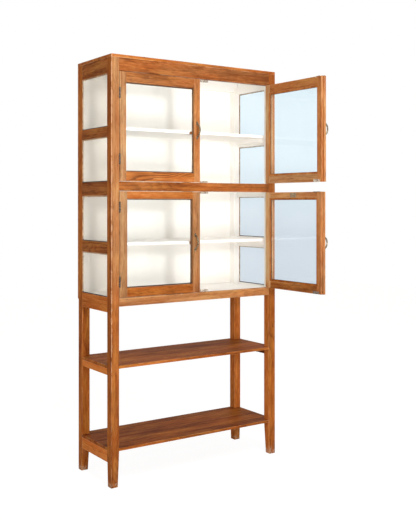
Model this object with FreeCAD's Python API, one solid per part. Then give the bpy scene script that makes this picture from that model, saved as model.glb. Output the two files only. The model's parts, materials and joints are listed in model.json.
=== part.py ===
import FreeCAD, Part
import math
import os

# Glazed cabinet on an open stand of two shelves, in millimetres.
# X runs to the right, Y to the back and Z up. The front of the posts is the plane Y = 0 until the whole
# model is moved to its origin at the end.

Vector = FreeCAD.Vector
UP = Vector(0, 0, 1)

# Frame
width = 892.0
frame_depth = 320.0
post_size = 38.0
foot_taper = 6.0
foot_taper_height = 148.0
top_board_thickness = 13.0
back_board_thickness = 8.0
back_board_drop = 29.0
rail_depth = 38.0
top_rail_height = 56.5
middle_rail_height = 40.0
bottom_rail_height = 36.0

# Heights of the storeys
lower_open_shelf_top = 165.0
open_shelf_spacing = 352.0
stand_opening_height = 253.0
lower_door_opening = 460.0
upper_door_opening = 474.5

# Side rails, all flush with the outside of the posts
side_rail_thickness = 20.0
side_top_rail_height = 67.5
side_shelf_rail_height = 44.0
side_shelf_rail_height_lower = 50.0
side_middle_rail_height = 61.0
side_bottom_rail_height = 65.5
right_bottom_rail_height = 42.0
side_rail_rise = 4.0

# Boards
floor_thickness = 12.0
inner_shelf_thickness = 12.0
inner_shelf_setback = 34.0
inner_shelf_side_gap = 0.5
upper_inner_shelf_rise = 236.0
lower_inner_shelf_rise = 235.0
cleat_width = 30.0
cleat_height = 20.0
door_stop_width = 24.0
door_stop_reach = 29.0
door_stop_drop = 3.0
door_stop_gap = 0.5
open_shelf_thickness = 12.0
open_shelf_setback = 1.0
open_shelf_rail_height = 29.0
left_foot_rail_height = 50.0
right_foot_rail_height = 16.0
notch_clearance = 0.2

# Joinery
tenon_length = 18.0
tenon_thickness = 10.0
tenon_inset = 5.0
tenon_shoulder = 6.0
tenon_clearance = 0.1

# Glass
glass_thickness = 3.0
glass_clearance = 0.5
glass_edge = 6.0
side_glass_setback = 4.0

# Doors
door_thickness = 20.0
door_gap = 2.0
meeting_offset = 7.0
meeting_lip = 8.0
meeting_gap = 1.5
rebate_gap = 0.4
door_glass_setback = 14.0
door_tenon_thickness = 7.0
door_tenon_inset = 4.0
bead_lap = 2.0
upper_door_top_rail = 45.0
upper_door_bottom_rail = 41.5
upper_hinge_stile = 32.0
upper_left_meeting_stile = 30.0
upper_right_meeting_stile = 35.0
lower_door_top_rail = 32.0
lower_door_bottom_rail = 40.0
lower_hinge_stile = 37.0
lower_left_meeting_stile = 38.5
lower_right_meeting_stile = 36.0
upper_right_rest_angle = 91.0
lower_right_rest_angle = 90.5

# Hinges
hinge_length = 45.0
knuckle_radius = 3.5
knuckle_count = 5
knuckle_gap = 0.3
knuckle_lift = 0.2
hinge_pin_radius = 1.5
hinge_pin_clearance = 0.05
hinge_pin_head_radius = 2.8
hinge_pin_head = 1.2
leaf_thickness = 0.9
leaf_width = 18.0
leaf_lap = 1.0
upper_hinge_inset = 94.0
lower_hinge_inset = 68.0

# Pulls
pull_inset = 15.0
lower_left_pull_inset = 25.0
pull_span = 60.0
pull_reach = 27.0
pull_radius = 3.4
pull_plate_length = 20.0
pull_plate_width = 12.0
pull_plate_thickness = 1.6

# Catches and strikes
catch_offset = 48.0
catch_length = 40.0
catch_depth = 13.0
catch_height = 9.0
catch_setback = 2.5
catch_slot = 15.0
catch_back_wall = 2.0
catch_plate = 1.2
ball_radius = 3.0
ball_clearance = 0.1
ball_play = 1.4
tongue_width = 6.0
tongue_thickness = 2.0
tongue_length = 12.0
strike_length = 40.0
strike_height = 12.0
strike_thickness = 1.2

# Plate inside the lower right door
plate_length = 43.0
plate_height = 20.0
plate_thickness = 1.0
plate_from_hinge = 205.0

# Nails
nail_radius = 1.6
nail_head = 0.4
back_nail_radius = 2.5
back_nail_head = 0.8
nail_edge_distance = 7.0
nails_per_rail = 7
nails_per_post = 6
nails_per_shelf_end = 3

# Places that follow from the sizes
half_width = width / 2
inner_x = half_width - post_size
back_y = frame_depth
upper_open_shelf_top = lower_open_shelf_top + open_shelf_spacing
floor_top = upper_open_shelf_top + stand_opening_height + bottom_rail_height
middle_rail_bottom = floor_top + lower_door_opening
middle_rail_top = middle_rail_bottom + middle_rail_height
top_rail_bottom = middle_rail_top + upper_door_opening
post_top = top_rail_bottom + top_rail_height
height = post_top + top_board_thickness
upper_inner_shelf_top = middle_rail_top + upper_inner_shelf_rise
lower_inner_shelf_top = floor_top + lower_inner_shelf_rise
hinge_axis_x = inner_x - door_gap / 2
hinge_axis_y = -(knuckle_radius + knuckle_lift)

# Top and height of each side rail of the cabinet, from the top down
side_rails = [
    (post_top, side_top_rail_height),
    (upper_inner_shelf_top, side_shelf_rail_height),
    (middle_rail_top, side_middle_rail_height),
    (lower_inner_shelf_top + side_rail_rise, side_shelf_rail_height_lower),
    (floor_top + side_rail_rise, side_bottom_rail_height),
]

nodes = {}
mortises = []
glass_grooves = []


def block(xa, xb, ya, yb, za, zb):
    """Box between two values on each axis, in any order."""
    low = Vector(min(xa, xb), min(ya, yb), min(za, zb))
    return Part.makeBox(abs(xb - xa), abs(yb - ya), abs(zb - za), low)


def rectangle(xa, xb, ya, yb, z):
    """Closed wire of a level rectangle."""
    corners = [Vector(xa, ya, z), Vector(xb, ya, z), Vector(xb, yb, z), Vector(xa, yb, z)]
    return Part.makePolygon(corners + corners[:1])


def group(solids):
    return Part.makeCompound(solids)


def tenon_drop(rail_height):
    """Height of the shoulder above and below a tenon."""
    return min(tenon_shoulder, rail_height / 4)


def mortise_for(xa, xb, ya, yb, za, zb):
    """Hole for a tenon of this size, with clearance all round."""
    c = tenon_clearance
    low = [min(xa, xb) - c, min(ya, yb) - c, min(za, zb) - c]
    high = [max(xa, xb) + c, max(ya, yb) + c, max(za, zb) + c]
    mortises.append(block(low[0], high[0], low[1], high[1], low[2], high[2]))


def cross_rail(ya, yb, top, rail_height, tenon_ya, tenon_yb):
    """Rail along X between two posts, with a blind tenon at each end."""
    bottom = top - rail_height
    drop = tenon_drop(rail_height)
    rail = block(-inner_x, inner_x, ya, yb, bottom, top)
    for side in (-1, 1):
        start = side * inner_x
        end = side * (inner_x + tenon_length)
        span = (start, end, tenon_ya, tenon_yb, bottom + drop, top - drop)
        rail = rail.fuse(block(*span))
        mortise_for(*span)
    return rail.removeSplitter()


def side_rail(side, top, rail_height):
    """Rail along Y between the posts of one side, flush with their outer faces."""
    bottom = top - rail_height
    drop = tenon_drop(rail_height)
    outer = side * half_width
    rail = block(outer, outer - side * side_rail_thickness, post_size, back_y - post_size, bottom, top)
    tenon_a = outer - side * tenon_inset
    tenon_b = outer - side * (tenon_inset + tenon_thickness)
    for start, inward in ((post_size, -1), (back_y - post_size, 1)):
        end = start + inward * tenon_length
        span = (tenon_a, tenon_b, start, end, bottom + drop, top - drop)
        rail = rail.fuse(block(*span))
        mortise_for(*span)
    return rail.removeSplitter()


def make_cross_rails():
    front_tenon = (tenon_inset, tenon_inset + tenon_thickness)
    back_tenon = (back_y - tenon_inset - tenon_thickness, back_y - tenon_inset)
    tops = {"top": (post_top, top_rail_height), "middle": (middle_rail_top, middle_rail_height),
            "bottom": (floor_top, bottom_rail_height)}
    back_rails = []
    for name, (top, rail_height) in tops.items():
        nodes["front_rail_" + name] = cross_rail(0, rail_depth, top, rail_height, *front_tenon)
        back_rails.append(cross_rail(back_y - rail_depth, back_y, top, rail_height, *back_tenon))
    nodes["back_rails"] = group(back_rails)


def make_side_rails():
    """Cabinet rails with glass grooves, and the plain rails that carry the open shelves."""
    carriers = []
    for side, word in ((-1, "left"), (1, "right")):
        rails = [side_rail(side, top, rail_height) for top, rail_height in side_rails[:-1]]
        lowest_height = side_bottom_rail_height if side < 0 else right_bottom_rail_height
        rails.append(side_rail(side, side_rails[-1][0], lowest_height))
        panes = []
        for upper, lower in zip(side_rails, side_rails[1:]):
            groove, pane = side_glass(side, upper[0] - upper[1], lower[0])
            glass_grooves.append(groove)
            panes.append(pane)
            rails = [rail.cut(groove) for rail in rails]
        nodes["side_rails_" + word] = group(rails)
        nodes["side_panes_" + word] = group(panes)
        foot_rail_height = left_foot_rail_height if side < 0 else right_foot_rail_height
        carriers.append(side_rail(side, upper_open_shelf_top - open_shelf_thickness, open_shelf_rail_height))
        carriers.append(side_rail(side, lower_open_shelf_top - open_shelf_thickness, foot_rail_height))
    nodes["open_shelf_rails"] = group(carriers)


def side_glass(side, top, bottom):
    """Groove round one side opening, and the pane that stands in it."""
    face = side * (half_width - side_glass_setback)
    inner = face - side * (glass_thickness + glass_clearance)
    front = post_size - glass_edge
    back = back_y - post_size + glass_edge
    groove = block(face, inner, front, back, bottom - glass_edge, top + glass_edge)
    c = glass_clearance
    pane = block(face, face - side * glass_thickness, front + c, back - c, bottom - glass_edge,
                 top + glass_edge - 2 * c)
    return groove, pane


def make_posts():
    """Square posts whose two inner faces come in towards the foot, with their mortises and grooves."""
    holes = group(mortises + glass_grooves)
    for side, word in ((-1, "left"), (1, "right")):
        for inward, outer_y, place in ((1, 0.0, "front"), (-1, back_y, "back")):
            outer_x = side * half_width
            full_x = outer_x - side * post_size
            full_y = outer_y + inward * post_size
            foot_x = full_x + side * foot_taper
            foot_y = full_y - inward * foot_taper
            foot = rectangle(outer_x, foot_x, outer_y, foot_y, 0)
            knee = rectangle(outer_x, full_x, outer_y, full_y, foot_taper_height)
            leg = Part.makeLoft([foot, knee], True, True)
            shaft = block(outer_x, full_x, outer_y, full_y, foot_taper_height, post_top)
            nodes["post_" + place + "_" + word] = shaft.fuse(leg).cut(holes)


def make_boards():
    """Top, back, floors, inner shelves with cleats and door stops, and the open shelves round the posts."""
    nodes["top_board"] = block(-half_width, half_width, 0, back_y + back_board_thickness, post_top, height)
    nodes["back_board"] = block(-half_width, half_width, back_y, back_y + back_board_thickness,
                                floor_top - back_board_drop, post_top)
    between = half_width - side_rail_thickness
    for name, top in (("floor_board", floor_top), ("divider_board", middle_rail_top)):
        nodes[name] = block(-between, between, rail_depth, back_y - rail_depth, top - floor_thickness, top)
    cleats = []
    door_stops = []
    shelf_x = inner_x - inner_shelf_side_gap
    for name, top in (("upper", upper_inner_shelf_top), ("lower", lower_inner_shelf_top)):
        bottom = top - inner_shelf_thickness
        nodes["inner_shelf_" + name] = block(-shelf_x, shelf_x, inner_shelf_setback, back_y, bottom, top)
        for side in (-1, 1):
            cleats.append(block(side * between, side * (between - cleat_width), post_size,
                                back_y - post_size, bottom - cleat_height, bottom))
        door_stops.append(block(-door_stop_reach, door_stop_width - door_stop_reach,
                                door_thickness + door_stop_gap, inner_shelf_setback,
                                bottom - door_stop_drop, top - door_stop_drop))
    nodes["shelf_cleats"] = group(cleats)
    nodes["shelf_stops"] = group(door_stops)
    for name, top in (("upper", upper_open_shelf_top), ("lower", lower_open_shelf_top)):
        nodes["open_shelf_" + name] = open_shelf(top)


def open_shelf(top):
    bottom = top - open_shelf_thickness
    board = block(-half_width, half_width, open_shelf_setback, back_y, bottom, top)
    notch = post_size + notch_clearance
    for side in (-1, 1):
        outer = side * half_width
        board = board.cut(block(outer, outer - side * notch, 0, notch, bottom, top))
        board = board.cut(block(outer, outer - side * notch, back_y - notch, back_y, bottom, top))
    return board


def door_layout(side, upper):
    """Sizes of one door, as distances from the post's inner face towards the middle."""
    lay = {"side": side}
    lay["bottom"] = (middle_rail_top if upper else floor_top) + door_gap
    lay["top"] = (top_rail_bottom if upper else middle_rail_bottom) - door_gap
    lay["start"] = door_gap
    if side < 0:
        lay["front_end"] = inner_x + meeting_offset
        lay["back_end"] = lay["front_end"] + meeting_lip
    else:
        lay["front_end"] = inner_x - meeting_offset - meeting_gap
        lay["back_end"] = lay["front_end"] - meeting_lip
    if upper:
        stiles = (upper_hinge_stile, upper_left_meeting_stile if side < 0 else upper_right_meeting_stile)
        rails = (upper_door_top_rail, upper_door_bottom_rail)
    else:
        stiles = (lower_hinge_stile, lower_left_meeting_stile if side < 0 else lower_right_meeting_stile)
        rails = (lower_door_top_rail, lower_door_bottom_rail)
    lay["hinge_stile"] = lay["start"] + stiles[0]
    lay["meeting_stile"] = lay["front_end"] - stiles[1]
    lay["top_rail"] = lay["top"] - rails[0]
    lay["bottom_rail"] = lay["bottom"] + rails[1]
    lay["pull"] = lay["front_end"] - (lower_left_pull_inset if side < 0 and not upper else pull_inset)
    inset = upper_hinge_inset if upper else lower_hinge_inset
    lay["hinges"] = (lay["bottom"] + inset, lay["top"] - inset)
    return lay


def place_x(lay, distance):
    """X of a point that lies this far from the post's inner face, towards the middle."""
    return lay["side"] * (inner_x - distance)


def door_block(lay, ua, ub, ya, yb, za, zb):
    return block(place_x(lay, ua), place_x(lay, ub), ya, yb, za, zb)


def make_door_frame(lay):
    """Stiles, rails, pane and beads of a door in its closed place."""
    half = door_thickness / 2
    hinge_stile = door_block(lay, lay["start"], lay["hinge_stile"], 0, door_thickness,
                             lay["bottom"], lay["top"])
    full_end = min(lay["front_end"], lay["back_end"])
    lip_end = max(lay["front_end"], lay["back_end"])
    lip_depth = (half + rebate_gap, door_thickness) if lay["side"] < 0 else (0, half)
    body = door_block(lay, lay["meeting_stile"], full_end, 0, door_thickness, lay["bottom"], lay["top"])
    lip = door_block(lay, full_end, lip_end, *lip_depth, lay["bottom"], lay["top"])
    meeting_stile = body.fuse(lip)
    rails = []
    tenon_front = door_tenon_inset
    tenon_back = door_tenon_inset + door_tenon_thickness
    for low, high in ((lay["top_rail"], lay["top"]), (lay["bottom"], lay["bottom_rail"])):
        drop = tenon_drop(high - low)
        rail = door_block(lay, lay["hinge_stile"], lay["meeting_stile"], 0, door_thickness, low, high)
        for root, outward in ((lay["hinge_stile"], -1), (lay["meeting_stile"], 1)):
            tip = root + outward * tenon_length
            rail = rail.fuse(door_block(lay, root, tip, tenon_front, tenon_back, low + drop, high - drop))
            c = tenon_clearance
            hole = door_block(lay, root, tip + outward * c, tenon_front - c, tenon_back + c,
                              low + drop - c, high - drop + c)
            if outward < 0:
                hinge_stile = hinge_stile.cut(hole)
            else:
                meeting_stile = meeting_stile.cut(hole)
        rails.append(rail.removeSplitter())
    ua = lay["hinge_stile"] - glass_edge
    ub = lay["meeting_stile"] + glass_edge
    za = lay["bottom_rail"] - glass_edge
    zb = lay["top_rail"] + glass_edge
    rabbet = door_block(lay, ua, ub, door_glass_setback, door_thickness, za, zb)
    c = glass_clearance
    glass_back = door_glass_setback + glass_thickness
    pane = door_block(lay, ua + c, ub - c, door_glass_setback, glass_back, za + c, zb - c)
    bead = glass_edge + bead_lap
    beads = [
        door_block(lay, ua, ub, glass_back, door_thickness, zb - bead, zb),
        door_block(lay, ua, ub, glass_back, door_thickness, za, za + bead),
        door_block(lay, ua, ua + bead, glass_back, door_thickness, za + bead, zb - bead),
        door_block(lay, ub - bead, ub, glass_back, door_thickness, za + bead, zb - bead),
    ]
    return {
        "hinge_stile": hinge_stile.cut(rabbet),
        "meeting_stile": meeting_stile.removeSplitter().cut(rabbet),
        "rails": group([rail.cut(rabbet) for rail in rails]),
        "pane": pane,
        "beads": group(beads),
    }


def hinge_half(lay, middle, on_door):
    """One leaf with its own knuckles: the frame leaf has the odd ones, the door leaf the others."""
    low = middle - hinge_length / 2
    if on_door:
        ua, ub = door_gap - leaf_thickness, door_gap
    else:
        ua, ub = 0.0, leaf_thickness
    leaf = door_block(lay, ua, ub, knuckle_gap, leaf_width, low, low + hinge_length)
    axis_x = lay["side"] * hinge_axis_x
    pitch = hinge_length / knuckle_count
    bore = hinge_pin_radius + hinge_pin_clearance
    for index in range(knuckle_count):
        if (index % 2 == 1) != on_door:
            continue
        start = low + index * pitch + knuckle_gap / 2
        length = pitch - knuckle_gap
        tube = Part.makeCylinder(knuckle_radius, length, Vector(axis_x, hinge_axis_y, start), UP)
        tab = door_block(lay, ua, ub, -leaf_lap, knuckle_gap, start, start + length)
        leaf = leaf.fuse(tube.fuse(tab))
    hole = Part.makeCylinder(bore, hinge_length, Vector(axis_x, hinge_axis_y, low), UP)
    return leaf.cut(hole).removeSplitter()


def hinge_pin(lay, middle):
    axis_x = lay["side"] * hinge_axis_x
    low = middle - hinge_length / 2
    pin = Part.makeCylinder(hinge_pin_radius, hinge_length, Vector(axis_x, hinge_axis_y, low), UP)
    head_below = Part.makeCylinder(hinge_pin_head_radius, hinge_pin_head,
                                   Vector(axis_x, hinge_axis_y, low - hinge_pin_head), UP)
    head_above = Part.makeCylinder(hinge_pin_head_radius, hinge_pin_head,
                                   Vector(axis_x, hinge_axis_y, low + hinge_length), UP)
    return pin.fuse(head_below).fuse(head_above).removeSplitter()


def leaf_plate(x, z, upward):
    """Thin plate with a point at its outer end, on the plane Y = 0."""
    half = pull_plate_width / 2
    inner = z - upward * pull_plate_length * 0.36
    wide = z
    tip = z + upward * pull_plate_length * 0.64
    points = [Vector(x - half * 0.7, 0, inner), Vector(x + half * 0.7, 0, inner), Vector(x + half, 0, wide),
              Vector(x + half * 0.62, 0, z + upward * pull_plate_length * 0.36), Vector(x, 0, tip),
              Vector(x - half * 0.62, 0, z + upward * pull_plate_length * 0.36), Vector(x - half, 0, wide)]
    face = Part.Face(Part.makePolygon(points + points[:1]))
    return face.extrude(Vector(0, -pull_plate_thickness, 0))


def make_pull(lay):
    """Arched rod between two leaf-shaped plates, standing on the meeting stile."""
    x = place_x(lay, lay["pull"])
    middle = (lay["bottom"] + lay["top"]) / 2
    low = Vector(x, -pull_plate_thickness / 2, middle - pull_span / 2)
    high = Vector(x, -pull_plate_thickness / 2, middle + pull_span / 2)
    crown = Vector(x, -(pull_reach - pull_radius), middle)
    spine = Part.Wire(Part.Arc(low, crown, high).toShape())
    start = spine.Edges[0].tangentAt(spine.Edges[0].FirstParameter)
    circle = Part.Wire(Part.Circle(low, start, pull_radius).toShape())
    rod = spine.makePipeShell([circle], True, False)
    wall = block(x - pull_span, x + pull_span, 0, pull_span, middle - pull_span, middle + pull_span)
    pull = rod.cut(wall)
    for upward in (-1, 1):
        pull = pull.fuse(leaf_plate(x, middle + upward * pull_span / 2, upward))
    return pull.removeSplitter()


def catch_places(lay):
    """Height of each rail face that carries a catch, with the way that the catch stands off it."""
    return ((lay["bottom"] - door_gap, 1), (lay["top"] + door_gap, -1))


def make_catch(side, face, away):
    """Clip case with a slot, and a ball at each side of the slot."""
    x = side * catch_offset
    front = door_thickness + catch_setback
    back = front + catch_depth
    far = face + away * catch_height
    case = block(x - catch_length / 2, x + catch_length / 2, front, back, face, far)
    slot = block(x - catch_slot / 2, x + catch_slot / 2, front, back - catch_back_wall,
                 face + away * catch_plate, far)
    case = case.cut(slot)
    balls = []
    ball_x = tongue_width / 2 + ball_play + ball_radius
    level = face + away * (catch_plate + catch_height) / 2
    for hand in (-1, 1):
        centre = Vector(x + hand * ball_x, (front + back - catch_back_wall) / 2, level)
        case = case.cut(Part.makeSphere(ball_radius + ball_clearance, centre))
        balls.append(Part.makeSphere(ball_radius, centre))
    return [case] + balls


def make_strike(lay, face, away):
    """Plate with a tongue that enters the catch: on the back at the door's foot, over the edge at its top."""
    x = lay["side"] * catch_offset
    level = face + away * (catch_plate + catch_height) / 2
    edge = face + away * door_gap
    back = door_thickness + strike_thickness
    start = x - strike_length / 2
    end = x + strike_length / 2
    tongue = block(x - tongue_width / 2, x + tongue_width / 2, door_thickness,
                   door_thickness + tongue_length, level - tongue_thickness / 2, level + tongue_thickness / 2)
    if away > 0:
        plate = block(start, end, door_thickness, back, edge, edge + strike_height)
    else:
        over_edge = block(start, end, door_thickness - strike_height, back, edge, edge + strike_thickness)
        tab = block(x - tongue_width / 2, x + tongue_width / 2, door_thickness, back,
                    level, edge + strike_thickness)
        plate = over_edge.fuse(tab)
    return plate.fuse(tongue).removeSplitter()


def make_doors():
    """Four doors in their resting places: the left pair shut, the right pair swung open."""
    frame_leaves = []
    catches = []
    for upper, level in ((True, "upper"), (False, "lower")):
        for side, word in ((-1, "left"), (1, "right")):
            lay = door_layout(side, upper)
            pieces = make_door_frame(lay)
            pieces["pull"] = make_pull(lay)
            pieces["hinges"] = group([hinge_half(lay, z, True) for z in lay["hinges"]]
                                     + [hinge_pin(lay, z) for z in lay["hinges"]])
            pieces["strikes"] = group([make_strike(lay, face, away) for face, away in catch_places(lay)])
            for z in lay["hinges"]:
                frame_leaves.append(hinge_half(lay, z, False))
            for face, away in catch_places(lay):
                catches.extend(make_catch(side, face, away))
            if side > 0 and not upper:
                pieces["plate"] = inside_plate(lay)
            for name, shape in pieces.items():
                if side > 0:
                    angle = upper_right_rest_angle if upper else lower_right_rest_angle
                    shape.rotate(Vector(hinge_axis_x, hinge_axis_y, 0), UP, angle)
                nodes["door_" + level + "_" + word + "_" + name] = shape
    nodes["hinge_frame_leaves"] = group(frame_leaves)
    nodes["catches"] = group(catches)


def inside_plate(lay):
    """Plain plate on the back of the top rail."""
    middle = (lay["top"] + lay["top_rail"]) / 2 + (glass_edge + bead_lap) / 4
    start = plate_from_hinge - plate_length / 2
    return door_block(lay, start, start + plate_length, door_thickness, door_thickness + plate_thickness,
                      middle - plate_height / 2, middle + plate_height / 2)


def spread(low, high, count):
    """Evenly spaced values from low to high."""
    return [low + (high - low) * index / (count - 1) for index in range(count)]


def make_nails():
    """Nail heads along the front rails, the back board and the ends of the open shelves."""
    heads = []
    forward = Vector(0, -1, 0)
    backward = Vector(0, 1, 0)
    reach = inner_x - post_size
    for top in (floor_top, middle_rail_top):
        for x in spread(-reach, reach, nails_per_rail):
            place = Vector(x, 0, top - nail_edge_distance)
            heads.append(Part.makeCylinder(nail_radius, nail_head, place, forward))
    board_back = back_y + back_board_thickness
    for side in (-1, 1):
        x = side * (half_width - post_size / 2)
        for z in spread(floor_top, post_top - post_size, nails_per_post):
            place = Vector(x, board_back, z)
            heads.append(Part.makeCylinder(back_nail_radius, back_nail_head, place, backward))
        x = side * (half_width - side_rail_thickness / 2)
        for top in (upper_open_shelf_top, lower_open_shelf_top):
            for y in spread(post_size * 2, back_y - post_size * 2, nails_per_shelf_end):
                heads.append(Part.makeCylinder(nail_radius, nail_head, Vector(x, y, top), UP))
    nodes["nails"] = group(heads)


make_cross_rails()
make_side_rails()
make_posts()
make_boards()
make_doors()
make_nails()

# The origin is the middle of the bottom of the box that holds everything at rest.
box = group(list(nodes.values())).BoundBox
origin = Vector((box.XMin + box.XMax) / 2, (box.YMin + box.YMax) / 2, box.ZMin)
os.makedirs("parts", exist_ok=True)
for node_name, node_shape in nodes.items():
    node_shape.translate(origin * -1)
    node_shape.exportStep("parts/" + node_name + ".step")
print(len(nodes), "nodes, height", height, "origin", origin)
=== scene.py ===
import json
import math
import random

import bmesh
import bpy
from mathutils import Matrix, Vector


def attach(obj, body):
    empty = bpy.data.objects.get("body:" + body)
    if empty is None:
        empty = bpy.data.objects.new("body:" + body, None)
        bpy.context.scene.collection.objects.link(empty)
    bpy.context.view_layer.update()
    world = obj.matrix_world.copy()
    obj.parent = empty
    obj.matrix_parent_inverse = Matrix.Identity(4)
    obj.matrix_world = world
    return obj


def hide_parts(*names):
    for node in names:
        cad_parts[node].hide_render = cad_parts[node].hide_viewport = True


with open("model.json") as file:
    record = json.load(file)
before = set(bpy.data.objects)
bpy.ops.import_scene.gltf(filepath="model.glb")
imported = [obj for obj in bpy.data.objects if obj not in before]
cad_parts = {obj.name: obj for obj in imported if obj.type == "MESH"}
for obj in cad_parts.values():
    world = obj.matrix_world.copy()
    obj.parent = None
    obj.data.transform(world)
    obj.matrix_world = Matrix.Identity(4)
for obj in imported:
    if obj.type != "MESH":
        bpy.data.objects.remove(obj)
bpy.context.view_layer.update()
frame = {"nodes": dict(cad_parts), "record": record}        # bodies, nodes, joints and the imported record

# Glazed cabinet on an open stand, in metres and degrees. X runs to the right, Y to the back and Z up.
# The wood, boards and glass keep the sizes of the CAD nodes; here they get eased edges, putty and finishes.

# Camera
camera_place = (-2.0766, -3.0689, 1.2111)
camera_heading = 34.42
camera_lens = 56.81
camera_shift_y = -0.1085
sensor_width = 36.0

# Easing of the edges
merge_distance = 0.00001
flat_angle = 0.3
sharp_angle = 30.0
support_slack = 0.00005
long_edge_share = 0.5
wood_easing = 0.0013
board_easing = 0.0009
bead_easing = 0.0004
easing_steps = 2

# Share of a face's normal along a direction: above it the face is turned that way, below it square to it
same_direction = 0.99
bevel_face_limit = 0.98
flat_on = 0.9
roughly_on = 0.5
edge_on = 0.1
square_to = 0.05

# Putty round the outside of every pane
pane_edge = 0.0055
putty_width = 0.0040
putty_depth = 0.0034
putty_chamfer = 0.0026
putty_corner = 0.0045
putty_corner_steps = 3

# Doors, as they stand when they are shut
hinge_axis_x = 0.407
hinge_axis_y = 0.0331
door_face_y = 0.0368
rest_angle = {"door_upper_right": 91.0, "door_lower_right": 90.5}

# Pulls
pull_middle = {"upper": 1.54325, "lower": 1.036}
pull_x = {"upper_left": -0.008, "upper_right": 0.0235, "lower_left": -0.018, "lower_right": 0.0235}
arch_radius = 0.03114
arch_centre_behind = 0.00754
arch_half_angle = 77.0
arch_steps = 36
rod_radius = 0.0034
rod_sides = 14
rod_end_gap = 0.0002
rod_smoothing = 50.0
leaf_sides = 20
leaf_width = 0.012
leaf_length = 0.0125
leaf_tail = 0.0070
leaf_tail_narrowing = 0.85
leaf_point_from = 0.45
leaf_point_narrowing = 0.72
leaf_thickness = 0.0016
leaf_easing = 0.0006
leaf_easing_steps = 2
screw_sides = 12
screw_radius = 0.0017
screw_step = 0.0004
screw_narrowing = 0.7
screw_slot_half_width = 0.00022
screw_slot_depth = 0.0003
screw_along_leaf = 0.62

# Where the rod of a pull grows thinner or swells into a collar, as two angles from its crown, and by how much
rod_swells = ((42, 90, -0.0004), (52, 90, -0.0004), (60, 69, 0.0013))

# White paint inside the cabinet, as a box in the frame of the whole object
paint_front = 0.0560
paint_back = 0.3572
paint_bottom = 0.8030
paint_top = 1.8375
paint_half_width = 0.4395
paint_wobble = 0.003
paint_roughness = 0.5
stroke_share = 0.08
aged_share = 0.35

# Colours, as they are in plain light, but the rubbed, bleached and brown glass ones also hold a painted
# highlight, painted sheen and painted shade. The redder and the more golden one multiply the colour of the
# wood.
teak_deep = (0.150, 0.038, 0.008, 1)
teak_mid = (0.380, 0.110, 0.021, 1)
teak_golden = (0.420, 0.145, 0.026, 1)
teak_pale = (0.620, 0.262, 0.082, 1)
teak_bleached_and_sheen = (0.500, 0.326, 0.168, 1)
teak_rich = (0.600, 0.190, 0.042, 1)
pore_dark = (0.085, 0.026, 0.009, 1)
redder = (0.91, 0.76, 0.65, 1)
more_golden = (1.07, 1.15, 1.18, 1)
# The rubbed colour also paints the highlight along a worn arris
rubbed_wood_and_highlight = (0.640, 0.380, 0.225, 1)
scuffed_wood = (0.600, 0.460, 0.330, 1)
paint_white = (0.955, 0.935, 0.898, 1)
paint_aged = (0.900, 0.830, 0.730, 1)
paint_chip = (0.800, 0.720, 0.640, 1)
putty_dirt = (0.022, 0.013, 0.009, 1)
pane_blue_low = (0.640, 0.720, 0.800, 1)
pane_blue_high = (0.790, 0.927, 1.000, 1)
clear_glass = (0.985, 0.995, 0.995, 1)
# The brown glass darkens the left side panes: painted shade of the interior seen through them
brown_glass = (0.865, 0.812, 0.742, 1)
light_through_glass = (0.97, 0.98, 0.98, 1)
floor_colour = (0.86, 0.85, 0.83, 1)
floor_shade = (0.16, 0.16, 0.16, 1)
plain_white = (1, 1, 1, 1)
warm_white = (1, 0.965, 0.915, 1)

# Studio
world_fill = 0.43
horizon = (-0.06, 0.09)
floor_size = 14
floor_roughness = 0.9
floor_glow = 0.93
lamps = {
    "front_softbox": dict(place=(-0.51, -3.0, 1.72), target=(0.05, 0.1, 1.45), size=(0.35, 0.35),
                          power=11.5, spread=110),
    "wide_fill": dict(place=(-0.90, -4.1, 1.50), target=(0, 0.1, 1.4), size=(4.0, 3.0),
                      power=17, spread=120),
    "high_fill": dict(place=(-0.40, -2.4, 3.5), target=(0.05, 0.3, 1.2), size=(2.0, 1.4),
                      power=23, spread=120),
    "low_fill": dict(place=(-0.50, -3.0, 0.55), target=(0.05, 0.1, 1.60), size=(2.4, 0.8),
                     power=9.6, spread=70, mirrored=False),
    "left_softbox": dict(place=(-3.0, -0.6, 1.6), target=(-0.3, 0.2, 1.2), size=(1.6, 1.6),
                         power=16, colour=(1, 0.93, 0.84)),
}

# Noise in the finishes: how fine it is per metre on each axis, its detail and its roughness
noises = {
    "broad": ((1.3, 10, 10), 2.0, 0.5),
    "streaks": ((2.4, 90, 90), 3.0, 0.6),
    "mottle": ((7, 24, 24), 4.0, 0.65),
    "flecks": ((30, 170, 170), 2.0, 0.6),
    "fibres": ((14, 420, 420), 2.0, 0.5),
    "redness": ((5, 38, 38), 3.0, 0.65),
    "rings": ((1.9, 9.5, 9.5), 1.0, 0.35),
    "rings_showing": ((2.2, 13, 13), 1.0, 0.5),
    "pores": ((18, 230, 230), 1.0, 0.5),
    "stains": ((9, 40, 40), 3.0, 0.6),
    "gold": ((3.5, 20, 20), 2.0, 0.5),
    "rubbed_edge": ((20, 20, 20), 3.0, 0.65),
    "paint_chips": ((60, 60, 60), 2.0, 0.6),
    "worn_line": ((45, 45, 30), 3.0, 0.7),
    "foot_scuffs": ((70, 70, 40), 3.0, 0.6),
    "foot_specks": ((110, 110, 110), 2.0, 0.6),
    "foot_dust": ((30, 30, 12), 3.0, 0.5),
    "paint_border": ((35, 35, 35), 2.0, 0.5),
    "brush_strokes": ((5, 90, 90), 2.0, 0.5),
    "aged_paint": ((5, 5, 5), 3.0, 0.5),
    "tarnish": ((1, 1, 1), 4.0, 0.6),
    "glass_ripple": ((6, 6, 3), 1.0, 0.5),
}

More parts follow.
